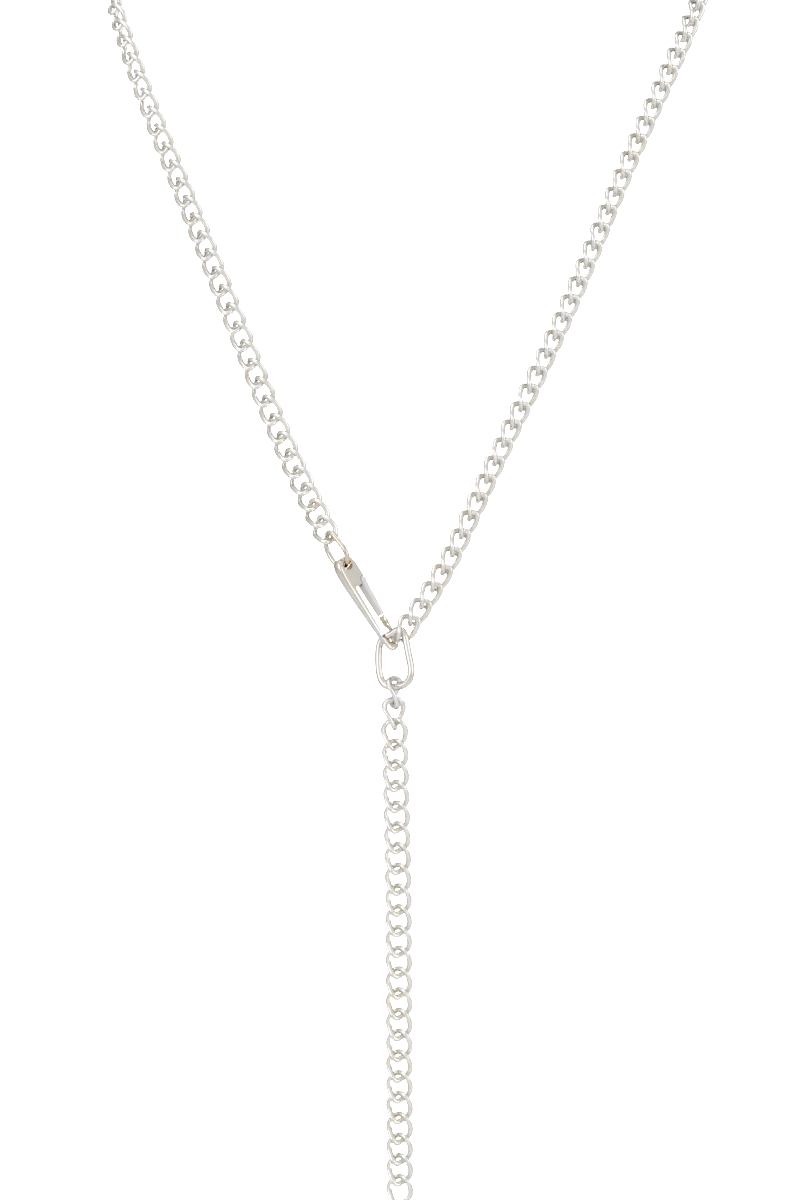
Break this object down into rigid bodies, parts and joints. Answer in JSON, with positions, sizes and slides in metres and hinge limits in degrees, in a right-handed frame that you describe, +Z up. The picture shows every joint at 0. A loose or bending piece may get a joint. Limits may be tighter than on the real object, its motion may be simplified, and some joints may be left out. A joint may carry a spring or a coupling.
{
  "type": "link necklace",
  "caption": "Silver curb chain necklace with a small trigger clasp hooked to an oval link and a free tail of chain.",
  "frame": {"origin": "centre of the chain at the nape, where the loop is held", "axes": "+Z up, front towards -Y, +X on the viewer's right"},
  "size_m": [0.1289, 0.0995, 0.2666],
  "materials": {
    "chain_right": "polished silver",
    "chain_left": "polished silver",
    "chain_tail": "polished silver",
    "connector_link": "polished silver",
    "clasp_ring": "polished silver",
    "clasp_body": "polished silver",
    "clasp_lever": "polished silver"
  },
  "bodies": {
    "necklace": {"chain_right": "chain_right", "chain_left": "chain_left", "chain_tail": "chain_tail", "connector_link": "connector_link", "clasp_ring": "clasp_ring", "clasp_body": "clasp_body"},
    "lever": {"clasp_lever": "clasp_lever"}
  },
  "joints": [
    {"name": "clasp_lever_hinge", "type": "hinge", "parent": "necklace", "child": "lever", "pos_m": [-0.00763, -0.09236, -0.13851], "axis": [-0.5376, 0.7877, -0.3011], "range_deg": [0, 12], "stiffness_Nm_per_rad": 0.001, "springref_deg": -11.46}
  ]
}
